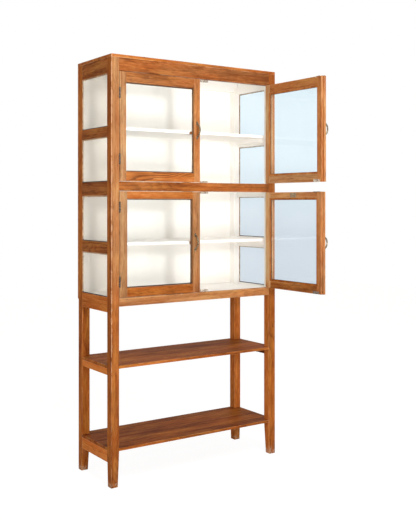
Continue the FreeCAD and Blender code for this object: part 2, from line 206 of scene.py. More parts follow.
# Levels of a noise between which a patch begins and shows in full
patch_levels = {
    "rings_showing": (0.36, 0.60),
    "pores": (0.62, 0.74),
    "stains": (0.62, 0.76),
    "gold": (0.45, 0.65),
    "rubbed_edge": (0.36, 0.62),
    "paint_chips": (0.62, 0.68),
    "worn_line": (0.34, 0.62),
    "foot_specks": (0.46, 0.58),
    "foot_dust": (0.5, 0.75),
    "aged_paint": (0.52, 0.80),
    "tarnish": (0.38, 0.62),
}

# Grain of the wood. Every board takes its grain from a place of its own, within this reach.
grain_reach = 20
ring_count = 30.0
ring_sharpness = 3.2
ring_tone = -0.60
stain_strength = 0.45
pore_strength = 0.40
pore_depth = -0.8
streak_height = 0.8
uneven_fading_and_sheen = 1.3
wood_roughness = 0.52
wood_gloss = 0.02

# How far each noise bends the rings, moves the tone, and turns the wood redder or more golden
ring_bends = {"streaks": 0.02, "flecks": 0.012}
tone_swings = {"broad": 0.85, "streaks": 0.62, "mottle": 0.90, "flecks": 0.42, "fibres": 0.12}
hue_swings = {"streaks": 0.45, "flecks": 0.40, "redness": 1.00}
hue_range = 0.18
roughness_swing = -0.25

# Wear and age. Arrises rubbed pale, with a painted highlight along them, are each a point, the axes across
# the arris and how far the pale line reaches.
worn_and_lit_arrises = (
    ((-0.446, 0.0368, 0), (1, 1, 0), 0.0050),
)
worn_and_lit_line_heights = (0.35, 0.60)
worn_and_lit_line_share = 0.5
rubbed_share = 0.45
rubbed_roughness = 0.15
scuff_share = 0.50
scuff_height = 0.055
scuff_fade = 0.014
dust_height = 0.16
dust_strength = 0.5
dull_roughness = 0.25
putty_roughness = 0.7
putty_stains = 60.0
glass_index = 1.45

# The open stand is darker, richer, less bleached and with less painted sheen than the cabinet, and painted
# shade makes its feet darker still
stand_heights = (0.95, 0.72)
stand_tone = -0.25
stand_fading_and_sheen = -0.25
foot_shade_height = 0.30
foot_shade_tone = -0.15

# How pale each piece of wood is: 0 for the middle tone, 1 for the palest and -1 for the darkest. The values
# go past these where a piece stands in much more or less light, and there they hold painted light and painted
# shade.
# Here and below, several values in brackets are for the boards of one piece, from the bottom up and then from
# left to right.
board_spread = 0.08
piece_tone_and_light = {
    "post_front_left": -0.22,
    "post_back_left": 0.36,
    "post_front_right": 0.04,
    "post_back_right": 1.05,
    "front_rail_top": -0.76,
    "front_rail_middle": -0.60,
    "front_rail_bottom": -0.12,
    "side_rails_left": (0.34, -0.33, -0.78, -0.50, -0.40),
    # The paler open shelf rails hold painted light, the darker ones painted shade under the shelves
    "open_shelf_rails": (1.4, -1.5, -1.5, 1.4),
    "open_shelf_upper": 0.06,
    "open_shelf_lower": -0.22,
    "shelf_stops": -0.6,
    "door_upper_left_hinge_stile": -0.60,
    "door_upper_left_meeting_stile": 0.14,
    "door_upper_left_rails": (0.22, -0.54),
    "door_lower_left_hinge_stile": -0.63,
    "door_lower_left_meeting_stile": -0.50,
    "door_lower_left_rails": (-0.08, -0.20),
    "door_upper_right_hinge_stile": -0.08,
    "door_upper_right_meeting_stile": -0.03,
    "door_upper_right_rails": (-0.22, 0.07),
    "door_lower_right_hinge_stile": 1.1,
    "door_lower_right_meeting_stile": -0.02,
    "door_lower_right_rails": (-0.40, 0.34),
}

# How much paler the front edge of a piece is, the left end of a shelf too, and how bleached, with painted
# sheen
edge_look = {
    "open_shelf_upper": (0.05, 0.0),
    "open_shelf_lower": (0.10, 0.0),
    "door_upper_right_meeting_stile": (-0.15, 0.30),
    "door_lower_right_meeting_stile": (-0.15, 0.30),
}

# How much paler the left side of a post is than its front: painted light and painted shade on that side
painted_side_light = {
    "post_front_left": 0.12,
    "post_back_left": -0.30,
    "post_front_right": 1.20,
}

# How strongly the growth rings of each piece show
plain_figure = 0.35
piece_figure = {
    "door_upper_left_rails": (1.7, 0.3),
    "door_lower_left_rails": (0.25, 0.5),
    "front_rail_top": 0.40,
    "side_rails_left": 0.6,
}

# How far each piece is paled towards the bleached colour: partly sun-bleaching, partly painted sheen and
# bounce light.
# On the posts only the faces turned to the front get it.
plain_fading_and_sheen = 0.05
piece_fading_and_sheen = {
    "post_front_left": 0.28,
    "front_rail_top": 0.08,
    "front_rail_bottom": 0.46,
    "door_upper_left_hinge_stile": 0.48,
    "door_upper_left_meeting_stile": 0.26,
    "door_upper_left_rails": (0.07, 0.12),
    "door_lower_left_hinge_stile": 0.40,
    "door_lower_left_meeting_stile": 0.32,
    "door_upper_right_hinge_stile": 0.66,
    "door_upper_right_rails": (0.44, 0.16),
    "door_upper_right_meeting_stile": 0.18,
    "door_lower_right_rails": (0.22, 0.34),
    "door_lower_right_hinge_stile": 0.80,
    "door_lower_right_meeting_stile": 0.30,
}

body_of_node = {}
for body_name, members in frame["record"]["behaviour"]["bodies"].items():
    for member in members:
        body_of_node[member] = body_name


def select_only(piece):
    """Leaves one object selected and active."""
    bpy.ops.object.select_all(action="DESELECT")
    piece.select_set(True)
    bpy.context.view_layer.objects.active = piece


def copy_of_node(node, name):
    """New object with a CAD node's mesh, its loose triangles merged into flat faces."""
    piece = bpy.data.objects.new(name, frame["nodes"][node].data.copy())
    bpy.context.scene.collection.objects.link(piece)
    piece.data.materials.clear()
    select_only(piece)
    bpy.ops.mesh.customdata_custom_splitnormals_clear()
    bpy.ops.object.mode_set(mode="EDIT")
    bpy.ops.mesh.select_all(action="SELECT")
    bpy.ops.mesh.remove_doubles(threshold=merge_distance)
    bpy.ops.mesh.dissolve_limited(angle_limit=math.radians(flat_angle))
    bpy.ops.object.mode_set(mode="OBJECT")
    bpy.ops.object.shade_flat()
    return piece


def islands(mesh):
    """Groups of points that belong to the same separate board."""
    waiting = set(mesh.verts)
    while waiting:
        group = {waiting.pop()}
        newest = list(group)
        while newest:
            point = newest.pop()
            for edge in point.link_edges:
                other = edge.other_vert(point)
                if other not in group:
                    group.add(other)
                    newest.append(other)
        waiting -= group
        yield sorted(group, key=lambda point: point.index)


def board_directions(faces):
    """Unit directions along, across and through a board, whose largest faces lie across its thickness."""
    sides = []
    for face in faces:
        for side in sides:
            if abs(side[0].dot(face.normal)) > same_direction:
                side[1] += face.calc_area()
                break
        else:
            sides.append([face.normal.copy(), face.calc_area()])
    sides.sort(key=lambda side: round(side[1], 7), reverse=True)
    thin = sides[0][0]
    wide = next(normal for normal, area in sides if abs(normal.dot(thin)) < square_to)
    return thin.cross(wide), wide, thin


def is_support(face, points):
    """True if the whole board lies on one side of the face."""
    start = face.verts[0].co
    return all((point.co - start).dot(face.normal) < support_slack for point in points)


def ease_edges(piece, width):
    """Rounds over the outer and the long edges of every board of a piece."""
    select_only(piece)
    bpy.ops.object.mode_set(mode="EDIT")
    bpy.ops.mesh.select_mode(type="EDGE")
    bpy.ops.mesh.select_all(action="DESELECT")
    mesh = bmesh.from_edit_mesh(piece.data)
    mesh.verts.index_update()
    for points in islands(mesh):
        edges = {edge for point in points for edge in point.link_edges if len(edge.link_faces) == 2}
        faces = {face for edge in edges for face in edge.link_faces}
        support = {face for face in faces if is_support(face, points)}
        longest = max(edge.calc_length() for edge in edges)
        for edge in edges:
            if not edge.is_convex or edge.calc_face_angle() < math.radians(sharp_angle):
                continue
            outer = all(face in support for face in edge.link_faces)
            if outer or edge.calc_length() > long_edge_share * longest:
                edge.select_set(True)
    bmesh.update_edit_mesh(piece.data)
    bpy.ops.mesh.bevel(offset=width, segments=easing_steps, affect="EDGES", clamp_overlap=False)
    bpy.ops.object.mode_set(mode="OBJECT")


def value_for(values, index):
    """One value for all the boards of a piece, or the one for this board, counted from the bottom up."""
    return values[index] if isinstance(values, tuple) else values


def middle_of(points):
    """Mean place of a board's points."""
    return sum((point.co for point in points), Vector()) / len(points)


def height_order(points):
    """Sorts boards from the bottom up, and boards at one height by X and Y."""
    middle = middle_of(points)
    return tuple(round(middle[axis], 3) for axis in (2, 0, 1))


def mark_boards(piece, node):
    """Stores each board's own grain place, tone with painted light on the sides of posts, ring figure, fading
    with painted sheen and rubbed edges on the mesh.
    """
    draw = random.Random(piece.name)
    tone = piece_tone_and_light.get(node, 0.0)
    figure = piece_figure.get(node, plain_figure)
    faded = piece_fading_and_sheen.get(node, plain_fading_and_sheen)
    shelf = node.startswith("open_shelf")
    mesh = bmesh.new()
    mesh.from_mesh(piece.data)
    mesh.verts.index_update()
    grain = [0.0] * (3 * len(mesh.verts))
    tones = [0.0] * len(mesh.faces)
    figures = [0.0] * len(mesh.faces)
    fading_and_sheen = [0.0] * len(mesh.faces)
    rubbed = [0.0] * len(mesh.faces)
    for index, points in enumerate(sorted(islands(mesh), key=height_order)):
        faces = sorted({face for point in points for face in point.link_faces}, key=lambda face: face.index)
        directions = board_directions(faces)
        offset = Vector([draw.uniform(0, grain_reach) for axis in range(3)])
        board_tone = value_for(tone, index) + draw.uniform(-board_spread, board_spread)
        middle = middle_of(points)
        for point in points:
            place = point.co - middle
            local = Vector([place.dot(axis) for axis in directions]) + offset
            grain[3 * point.index: 3 * point.index + 3] = local
        for face in faces:
            squareness = max(abs(face.normal.dot(axis)) for axis in directions)
            rubbed[face.index] = 1.0 if squareness < bevel_face_limit else 0.0
            to_front = face.normal.y < -roughly_on
            to_left = face.normal.x < -roughly_on
            paler, bleached_and_sheen = 0.0, value_for(faded, index)
            if node in edge_look and (to_front or shelf and to_left):
                paler, bleached_and_sheen = edge_look[node]
            # Painted light and shade on the left side of a post
            if to_left:
                paler += painted_side_light.get(node, 0.0)
            tones[face.index] = board_tone + paler
            figures[face.index] = value_for(figure, index)
            # Fading and painted sheen reach only the faces of a post that are turned to the front
            post_not_facing_front = node.startswith("post") and face.normal.y > -roughly_on
            fading_and_sheen[face.index] = 0.0 if post_not_facing_front else bleached_and_sheen
    mesh.free()
    attribute = piece.data.attributes.new("grain", "FLOAT_VECTOR", "POINT")
    attribute.data.foreach_set("vector", grain)
    for name, values in (("tone", tones), ("figure", figures), ("faded", fading_and_sheen), ("rubbed", rubbed)):
        attribute = piece.data.attributes.new(name, "FLOAT", "FACE")
        attribute.data.foreach_set("value", values)


def add_node(tree, kind, inputs=None, **settings):
    """Shader node with its settings, and its inputs set or linked."""
    made = tree.nodes.new("ShaderNode" + kind)
    for name, value in settings.items():
        setattr(made, name, value)
    for name, value in (inputs or {}).items():
        if isinstance(value, bpy.types.NodeSocket):
            tree.links.new(value, made.inputs[name])
        else:
            made.inputs[name].default_value = value
    return made


def maths(tree, operation, *terms, clamp=False):
    """Result of one operation on numbers or sockets."""
    return add_node(tree, "Math", dict(enumerate(terms)), operation=operation, use_clamp=clamp).outputs[0]


def stretched(tree, vector, scale):
    """Vector multiplied by a scale for each axis."""
    return add_node(tree, "VectorMath", {0: vector, 1: scale}, operation="MULTIPLY").outputs[0]


def height_of(tree, vector):
    """Z of a vector."""
    return add_node(tree, "SeparateXYZ", {"Vector": vector}).outputs["Z"]


def smooth(tree, value, low, high, start=0.0, end=1.0):
    """Soft step from one value to another."""
    settings = {"Value": value, "From Min": low, "From Max": high, "To Min": start, "To Max": end}
    return add_node(tree, "MapRange", settings, interpolation_type="SMOOTHSTEP").outputs[0]


def noise(tree, vector, name):
    """One of the named noises."""
    scale, detail, roughness = noises[name]
    place = stretched(tree, vector, scale)
    settings = {"Vector": place, "Scale": 1.0, "Detail": detail, "Roughness": roughness}
    return add_node(tree, "TexNoise", settings).outputs[0]


def patches(tree, vector, name):
    """Soft-edged mask of the places where one of the named noises is high."""
    return smooth(tree, noise(tree, vector, name), *patch_levels[name])


def swing(tree, value, amount):
    """Value from 0 to 1 turned into one that swings this much about nothing."""
    return maths(tree, "MULTIPLY", maths(tree, "SUBTRACT", value, 0.5), amount)


def add_swings(tree, kinds, amounts, total=0.0):
    """Total of several noises that each swing by an amount of their own."""
    for name, amount in amounts.items():
        total = maths(tree, "ADD", total, swing(tree, kinds[name], amount))
    return total


def blended(tree, share, first, second, blend_type="MIX"):
    """Colour made of two others."""
    made = add_node(tree, "Mix", {0: share, 6: first, 7: second}, data_type="RGBA", blend_type=blend_type)
    return made.outputs[2]


def new_group(name, inputs, outputs):
    """Empty shader group with named inputs and outputs."""
    tree = bpy.data.node_groups.new(name, "ShaderNodeTree")
    for label, kind in inputs.items():
        tree.interface.new_socket(label, in_out="INPUT", socket_type="NodeSocket" + kind)
    for label, kind in outputs.items():
        tree.interface.new_socket(label, in_out="OUTPUT", socket_type="NodeSocket" + kind)
    given = tree.nodes.new("NodeGroupInput").outputs
    result = tree.nodes.new("NodeGroupOutput").inputs
    return tree, given, result


def use_group(tree, group, inputs):
    """Outputs of a group with its inputs set or linked."""
    return add_node(tree, "Group", inputs, node_tree=group).outputs


def make_teak_figure():
    """Streaks, mottled patches, arched growth rings, fibres and dark pores of a sawn board."""
    inputs = {"Vector": "Vector"}
    inputs.update(dict.fromkeys(("Tone", "Figure", "Faded"), "Float"))
    inputs.update(dict.fromkeys(("Deep", "Mid", "Golden", "Pale", "Bleached"), "Color"))
    outputs = {"Color": "Color", "Height": "Float", "Roughness": "Float"}
    tree, given, result = new_group("teak_figure", inputs, outputs)
    place = given["Vector"]
    names = ("broad", "streaks", "mottle", "flecks", "fibres", "redness")
    kinds = {name: noise(tree, place, name) for name in names}
    streaks = kinds["streaks"]
    pores = patches(tree, place, "pores")
    bent = maths(tree, "ADD", noise(tree, place, "rings"), add_swings(tree, kinds, ring_bends))
    turns = maths(tree, "MULTIPLY", bent, ring_count)
    rings = maths(tree, "POWER", maths(tree, "FRACT", turns), ring_sharpness)
    rings = maths(tree, "MULTIPLY", rings, patches(tree, place, "rings_showing"))
    rings = maths(tree, "MULTIPLY", rings, given["Figure"])

    level = maths(tree, "MULTIPLY_ADD", given["Tone"], 0.5, 0.5)
    level = add_swings(tree, kinds, tone_swings, level)
    level = maths(tree, "ADD", level, maths(tree, "MULTIPLY", rings, ring_tone))
    lower = maths(tree, "MULTIPLY", level, 2.0, clamp=True)
    upper = maths(tree, "MULTIPLY_ADD", level, 2.0, -1.0, clamp=True)
    middle = blended(tree, patches(tree, place, "gold"), given["Mid"], given["Golden"])
    colour = blended(tree, upper, blended(tree, lower, given["Deep"], middle), given["Pale"])

    # Uneven paling towards the bleached colour: sun-bleaching together with painted sheen
    uneven = maths(tree, "ADD", kinds["mottle"], maths(tree, "SUBTRACT", streaks, 0.5))
    worn = swing(tree, uneven, maths(tree, "MULTIPLY", given["Faded"], uneven_fading_and_sheen))
    colour = blended(tree, maths(tree, "ADD", given["Faded"], worn, clamp=True), colour, given["Bleached"])
    dark = maths(tree, "MULTIPLY", pores, pore_strength)
    dark = maths(tree, "MULTIPLY_ADD", patches(tree, place, "stains"), stain_strength, dark, clamp=True)
    colour = blended(tree, dark, colour, pore_dark)
    hue = smooth(tree, add_swings(tree, kinds, hue_swings), -hue_range, hue_range)
    colour = blended(tree, 1.0, colour, blended(tree, hue, redder, more_golden), "MULTIPLY")
    tree.links.new(colour, result["Color"])

    grooves = maths(tree, "MULTIPLY_ADD", pores, pore_depth, swing(tree, streaks, streak_height))
    tree.links.new(maths(tree, "ADD", kinds["fibres"], grooves), result["Height"])
    roughness = maths(tree, "ADD", wood_roughness, swing(tree, streaks, roughness_swing))
    tree.links.new(roughness, result["Roughness"])
    return tree


def make_rubbed_edges():
    """Masks of the places where an eased edge is worn pale, and of the paint chips left on it."""
    tree, given, result = new_group("rubbed_edges", {"Vector": "Vector", "Edge": "Float"},
                                    {"Mask": "Float", "Chips": "Float"})
    for name, output in (("rubbed_edge", "Mask"), ("paint_chips", "Chips")):
        mask = patches(tree, given["Vector"], name)
        tree.links.new(maths(tree, "MULTIPLY", mask, given["Edge"]), result[output])
    return tree


def make_worn_and_lit_line():
    """Mask of a ragged pale line along an arris: rubbed wear and a painted highlight."""
    inputs = {"Vector": "Vector", "Point": "Vector", "Across": "Vector", "Width": "Float"}
    tree, given, result = new_group("worn_line", inputs, {"Mask": "Float"})
    place = given["Vector"]
    away = add_node(tree, "VectorMath", {0: place, 1: given["Point"]}, operation="SUBTRACT").outputs[0]
    away = stretched(tree, away, given["Across"])
    away = add_node(tree, "VectorMath", {0: away}, operation="LENGTH").outputs["Value"]
    reach = maths(tree, "MULTIPLY", given["Width"], patches(tree, place, "worn_line"))
    tree.links.new(maths(tree, "LESS_THAN", away, reach), result["Mask"])
    return tree


def make_foot_wear():
    """Mask of the scuffs and dust where the feet stand on the floor."""
    tree, given, result = new_group("foot_wear", {"Vector": "Vector"}, {"Mask": "Float"})
    place = given["Vector"]
    height = height_of(tree, place)
    reach = maths(tree, "MULTIPLY_ADD", noise(tree, place, "foot_scuffs"), -scuff_height, height)
    low = smooth(tree, reach, 0.0, -scuff_fade)
    low = maths(tree, "MULTIPLY", low, patches(tree, place, "foot_specks"))
    dusty = smooth(tree, height, dust_height, 0.0)
    dusty = maths(tree, "MULTIPLY", dusty, patches(tree, place, "foot_dust"))
    tree.links.new(maths(tree, "MULTIPLY_ADD", dusty, dust_strength, low, clamp=True), result["Mask"])
    return tree


def make_painted_inside():
    """Mask of the part of a board that was painted white with the inside of the cabinet."""
    tree, given, result = new_group("painted_inside", {"Vector": "Vector"}, {"Mask": "Float"})
    wobble = swing(tree, noise(tree, given["Vector"], "paint_border"), paint_wobble)
    place = add_node(tree, "SeparateXYZ", {"Vector": given["Vector"]}).outputs
    mask = maths(tree, "LESS_THAN", maths(tree, "ABSOLUTE", place["X"]), paint_half_width)
    tests = (
        ("GREATER_THAN", maths(tree, "ADD", place["Y"], wobble), paint_front),
        ("LESS_THAN", place["Y"], paint_back),
        ("GREATER_THAN", place["Z"], paint_bottom),
        ("LESS_THAN", place["Z"], paint_top),
    )
    for test, value, limit in tests:
        mask = maths(tree, "MULTIPLY", mask, maths(tree, test, value, limit))
    tree.links.new(mask, result["Mask"])
    return tree


def make_brushed_paint():
    """Hand-brushed white paint with faint strokes and yellowed patches."""
    tree, given, result = new_group("brushed_paint", {"Vector": "Vector", "White": "Color", "Aged": "Color"},
                                    {"Color": "Color", "Height": "Float"})
    strokes = noise(tree, given["Vector"], "brush_strokes")
    aged = patches(tree, given["Vector"], "aged_paint")
    share = maths(tree, "MULTIPLY_ADD", aged, aged_share, maths(tree, "MULTIPLY", strokes, stroke_share))
    tree.links.new(blended(tree, share, given["White"], given["Aged"]), result["Color"])
    tree.links.new(strokes, result["Height"])
    return tree


def make_tarnish():
    """Mask of dull patches on old metal, with rubbed bright places left between them."""
    tree, given, result = new_group("tarnish", {"Vector": "Vector", "Size": "Float"}, {"Mask": "Float"})
    scale = add_node(tree, "CombineXYZ", dict.fromkeys("XYZ", given["Size"])).outputs[0]
    place = stretched(tree, given["Vector"], scale)
    tree.links.new(patches(tree, place, "tarnish"), result["Mask"])
    return tree


teak_figure = make_teak_figure()
rubbed_edges = make_rubbed_edges()
worn_line = make_worn_and_lit_line()
foot_wear = make_foot_wear()
painted_inside = make_painted_inside()
brushed_paint = make_brushed_paint()
tarnish = make_tarnish()


def show(tree, shader, kind="OutputMaterial"):
    """Makes a shader what a material or world shows, in place of any other."""
    output = next((item for item in tree.nodes if item.bl_idname == "ShaderNode" + kind), None)
    output = output or add_node(tree, kind)
    tree.links.new(shader.outputs[0], output.inputs["Surface"])


def new_material(name):
    """Material with an empty node tree, its surface shader and its Object coordinates."""
    material = bpy.data.materials.new(name)
    material.use_nodes = True
    tree = material.node_tree
    tree.nodes.clear()
    surface = add_node(tree, "BsdfPrincipled")
    show(tree, surface)
    place = add_node(tree, "TexCoord").outputs["Object"]
    return material, tree, surface, place


def mixed(tree, share, first, second):
    """Mix of two shaders."""
    return add_node(tree, "MixShader", {0: share, 1: first.outputs[0], 2: second.outputs[0]})


def bump(tree, height, strength, distance):
    """Normal of a surface with fine relief."""
    settings = {"Height": height, "Strength": strength, "Distance": distance}
    return add_node(tree, "Bump", settings).outputs[0]


def board_value(tree, name):
    """Value that mark_boards or mark_dirt has stored on the mesh."""
    return add_node(tree, "Attribute", attribute_name=name).outputs["Fac"]


def make_teak(name, painted=False, chips=0.0, worn_and_lit_lines=()):
    """Old oiled teak with rubbed edges, and white paint where the board faces the inside of the cabinet."""
    material, tree, surface, place = new_material(name)
    grain = add_node(tree, "Attribute", attribute_name="grain").outputs["Vector"]
    height = height_of(tree, place)
    stand = smooth(tree, height, *stand_heights)
    foot_shade = smooth(tree, height, 0.0, foot_shade_height, foot_shade_tone, 0.0)
    tone = maths(tree, "ADD", board_value(tree, "tone"), foot_shade)
    # Board tone and fading hold painted light, shade and sheen besides the wood's own colour
    wood = use_group(tree, teak_figure, {
        "Vector": grain,
        "Tone": maths(tree, "MULTIPLY_ADD", stand, stand_tone, tone),
        "Figure": board_value(tree, "figure"),
        "Faded": maths(tree, "MULTIPLY_ADD", stand, stand_fading_and_sheen, board_value(tree, "faded"), clamp=True),
        "Deep": teak_deep,
        "Mid": teak_mid,
        "Golden": teak_golden,
        "Pale": blended(tree, stand, teak_pale, teak_rich),
        "Bleached": teak_bleached_and_sheen,
    })
    worn = use_group(tree, rubbed_edges, {"Vector": place, "Edge": board_value(tree, "rubbed")})
    colour = blended(tree, maths(tree, "MULTIPLY", worn["Mask"], rubbed_share), wood["Color"], rubbed_wood_and_highlight)
    # Pale line along an arris: rubbed wear and a painted highlight
    for point, across, width in worn_and_lit_lines:
        line = use_group(tree, worn_line, {"Vector": place, "Point": point, "Across": across, "Width": width})
        share = smooth(tree, height, *worn_and_lit_line_heights, 0.0, worn_and_lit_line_share)
        colour = blended(tree, maths(tree, "MULTIPLY", line["Mask"], share), colour, rubbed_wood_and_highlight)
    scuffed = use_group(tree, foot_wear, {"Vector": place})["Mask"]
    colour = blended(tree, maths(tree, "MULTIPLY", scuffed, scuff_share), colour, scuffed_wood)
    colour = blended(tree, maths(tree, "MULTIPLY", worn["Chips"], chips), colour, paint_chip)
    roughness = maths(tree, "MULTIPLY_ADD", worn["Mask"], rubbed_roughness, wood["Roughness"])
    if painted:
        paint = use_group(tree, brushed_paint, {"Vector": grain, "White": paint_white, "Aged": paint_aged})
        mask = use_group(tree, painted_inside, {"Vector": place})["Mask"]
        colour = blended(tree, mask, colour, paint["Color"])
        change = maths(tree, "SUBTRACT", paint_roughness, roughness)
        roughness = maths(tree, "MULTIPLY_ADD", mask, change, roughness)
    tree.links.new(colour, surface.inputs["Base Color"])
    tree.links.new(roughness, surface.inputs["Roughness"])
    relief = bump(tree, wood["Height"], strength=0.35, distance=0.0004)
    tree.links.new(relief, surface.inputs["Normal"])
    surface.inputs["Specular IOR Level"].default_value = wood_gloss
    return material


def make_metal(name, clean, dull, size, roughness, metallic=1.0):
    """Old metal: a clean colour that shows through duller patches, so many to a metre."""
    material, tree, surface, place = new_material(name)
    mask = use_group(tree, tarnish, {"Vector": place, "Size": size})["Mask"]
    tree.links.new(blended(tree, mask, clean, dull), surface.inputs["Base Color"])
    tree.links.new(maths(tree, "MULTIPLY_ADD", mask, dull_roughness, roughness), surface.inputs["Roughness"])
    tree.links.new(bump(tree, mask, strength=0.2, distance=0.0003), surface.inputs["Normal"])
    surface.inputs["Metallic"].default_value = metallic
    return material


def make_putty(name, clean, dull):
    """Hardened putty, stained with the wood and dirt in its corners."""
    material, tree, surface, place = new_material(name)
    mask = use_group(tree, tarnish, {"Vector": place, "Size": putty_stains})["Mask"]
    colour = blended(tree, board_value(tree, "dirt"), blended(tree, mask, clean, dull), putty_dirt)
    tree.links.new(colour, surface.inputs["Base Color"])
    surface.inputs["Roughness"].default_value = putty_roughness
    tree.links.new(bump(tree, mask, strength=0.4, distance=0.0004), surface.inputs["Normal"])
    return material


def make_glass(name, tint):
    """Old window glass that lets light and shadow rays straight through."""
    material, tree, surface, place = new_material(name)
    settings = {"Base Color": tint, "Roughness": 0.0, "IOR": glass_index, "Transmission Weight": 1.0}
    for label, value in settings.items():
        surface.inputs[label].default_value = value
    ripple = bump(tree, noise(tree, place, "glass_ripple"), strength=0.05, distance=0.001)
    tree.links.new(ripple, surface.inputs["Normal"])
    clear = add_node(tree, "BsdfTransparent", {"Color": light_through_glass})
    rays = add_node(tree, "LightPath").outputs
    passing = maths(tree, "MAXIMUM", rays["Is Shadow Ray"], rays["Is Diffuse Ray"])
    show(tree, mixed(tree, passing, surface, clear))
    return material


teak_frame = make_teak("teak_frame", painted=True, worn_and_lit_lines=worn_and_lit_arrises)
teak_front_rails = make_teak("teak_front_rails", painted=True, chips=0.7)
teak_doors = make_teak("teak_doors")
teak_shelves = make_teak("teak_shelves")
window_glass = make_glass("window_glass", clear_glass)
# Brown glass of the left side panes paints the shade of the interior behind them
smoky_glass = make_glass("smoky_glass", brown_glass)
brown_putty = make_putty("brown_putty", clean=(0.150, 0.080, 0.042, 1), dull=(0.060, 0.030, 0.016, 1))
pale_putty = make_putty("pale_putty", clean=(0.560, 0.350, 0.190, 1), dull=(0.260, 0.150, 0.080, 1))
cream_putty = make_putty("cream_putty", clean=(0.620, 0.540, 0.430, 1), dull=(0.360, 0.270, 0.180, 1))
putty_of_panes = {"side_panes_left": pale_putty, "side_panes_right": cream_putty}
antique_brass = make_metal("antique_brass", clean=(0.36, 0.29, 0.19, 1), dull=(0.070, 0.056, 0.040, 1),
                           size=180.0, roughness=0.28)
plate_brass = make_metal("plate_brass", clean=(0.36, 0.27, 0.16, 1), dull=(0.20, 0.15, 0.095, 1),
                         size=120.0, roughness=0.45, metallic=0.35)
hinge_iron = make_metal("hinge_iron", clean=(0.16, 0.14, 0.13, 1), dull=(0.035, 0.028, 0.024, 1),
                        size=220.0, roughness=0.45)
dull_steel = make_metal("dull_steel", clean=(0.45, 0.41, 0.36, 1), dull=(0.10, 0.08, 0.06, 1),
                        size=260.0, roughness=0.30)
painted_steel = make_metal("painted_steel", clean=(0.80, 0.72, 0.61, 1), dull=(0.16, 0.11, 0.08, 1),
                           size=200.0, roughness=0.45, metallic=0.0)

door_words = ("upper_left", "upper_right", "lower_left", "lower_right")


def of_doors(part):
    """Nodes of one part of every door."""
    return ["door_" + word + "_" + part for word in door_words]


# Nodes that get eased edges: how far they are eased, their finish and their slot
eased_pieces = (
    (["post_front_left", "post_back_left", "post_front_right", "post_back_right"],
     wood_easing, teak_frame, "teak"),
    (["front_rail_middle", "front_rail_bottom"], wood_easing, teak_front_rails, "teak"),
    (["top_board", "back_board", "front_rail_top", "back_rails", "side_rails_left", "side_rails_right",
      "open_shelf_rails"], wood_easing, teak_frame, "teak"),
    (["floor_board", "divider_board", "inner_shelf_upper", "inner_shelf_lower", "shelf_cleats"],
     board_easing, teak_frame, "white_paint"),
    (["shelf_stops"], board_easing, teak_doors, "teak"),
    (["open_shelf_upper", "open_shelf_lower"], board_easing, teak_shelves, "shelf_wood"),
    (of_doors("hinge_stile") + of_doors("meeting_stile") + of_doors("rails"),
     wood_easing, teak_doors, "teak"),
    (of_doors("beads"), bead_easing, teak_doors, "teak"),
)
for nodes, easing, finish, slot_name in eased_pieces:
    for node in nodes:
        piece = copy_of_node(node, node + ".eased")
        ease_edges(piece, easing)
        mark_boards(piece, node)
        piece.data.materials.append(finish)
        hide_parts(node)
        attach(piece, body_of_node[node])


def pick_edges(piece, test):
    """Selects the edges of the edited mesh that pass a test, and nothing else."""
    bpy.ops.mesh.select_mode(type="EDGE")
    bpy.ops.mesh.select_all(action="DESELECT")
    mesh = bmesh.from_edit_mesh(piece.data)
    for edge in mesh.edges:
        edge.select_set(test(edge))
    bmesh.update_edit_mesh(piece.data)


def place_beyond(axis, limit, away):
    """Test for the points that lie past a limit along one axis."""
    return lambda point: away * (point.co[axis] - limit) > 0


def pick_points(piece, test):
    """Selects the points of the edited mesh that pass a test, and nothing else."""
    bpy.ops.mesh.select_mode(type="VERT")
    bpy.ops.mesh.select_all(action="DESELECT")
    mesh = bmesh.from_edit_mesh(piece.data)
    for point in mesh.verts:
        point.select_set(test(point))
    mesh.select_flush_mode()
    bmesh.update_edit_mesh(piece.data)


def face_outwards():
    """Turns every face of the edited mesh outwards, and leaves the whole mesh selected."""
    bpy.ops.mesh.select_all(action="SELECT")
    bpy.ops.mesh.normals_make_consistent(inside=False)


def extrude_by(way):
    """Draws the selected part of the edited mesh out."""
    bpy.ops.mesh.extrude_region_move(TRANSFORM_OT_translate={"value": way})


def outward_direction(node):
    """Way that the outer side of a pane faces at rest."""
    if node.startswith("side_panes"):
        return Vector((-1, 0, 0)) if node.endswith("left") else Vector((1, 0, 0))
    angle = rest_angle.get(body_of_node[node], 0.0)
    return Matrix.Rotation(math.radians(angle), 3, "Z") @ Vector((0, -1, 0))


def mark_dirt(piece, middles):
    """Stores on the mesh which strips of putty lie along the foot of a pane, where dirt has settled."""
    centres = [face.center for face in piece.data.polygons]
    nearest = [min(middles, key=lambda middle: (middle - centre).length) for centre in centres]
    foot = {}
    for middle, centre in zip(nearest, centres):
        foot[middle.z] = min(foot.get(middle.z, centre.z), centre.z)
    reach = putty_width + putty_chamfer
    dirt = [float(centre.z < foot[middle.z] + reach) for middle, centre in zip(nearest, centres)]
    attribute = piece.data.attributes.new("dirt", "FLOAT", "FACE")
    attribute.data.foreach_set("value", dirt)


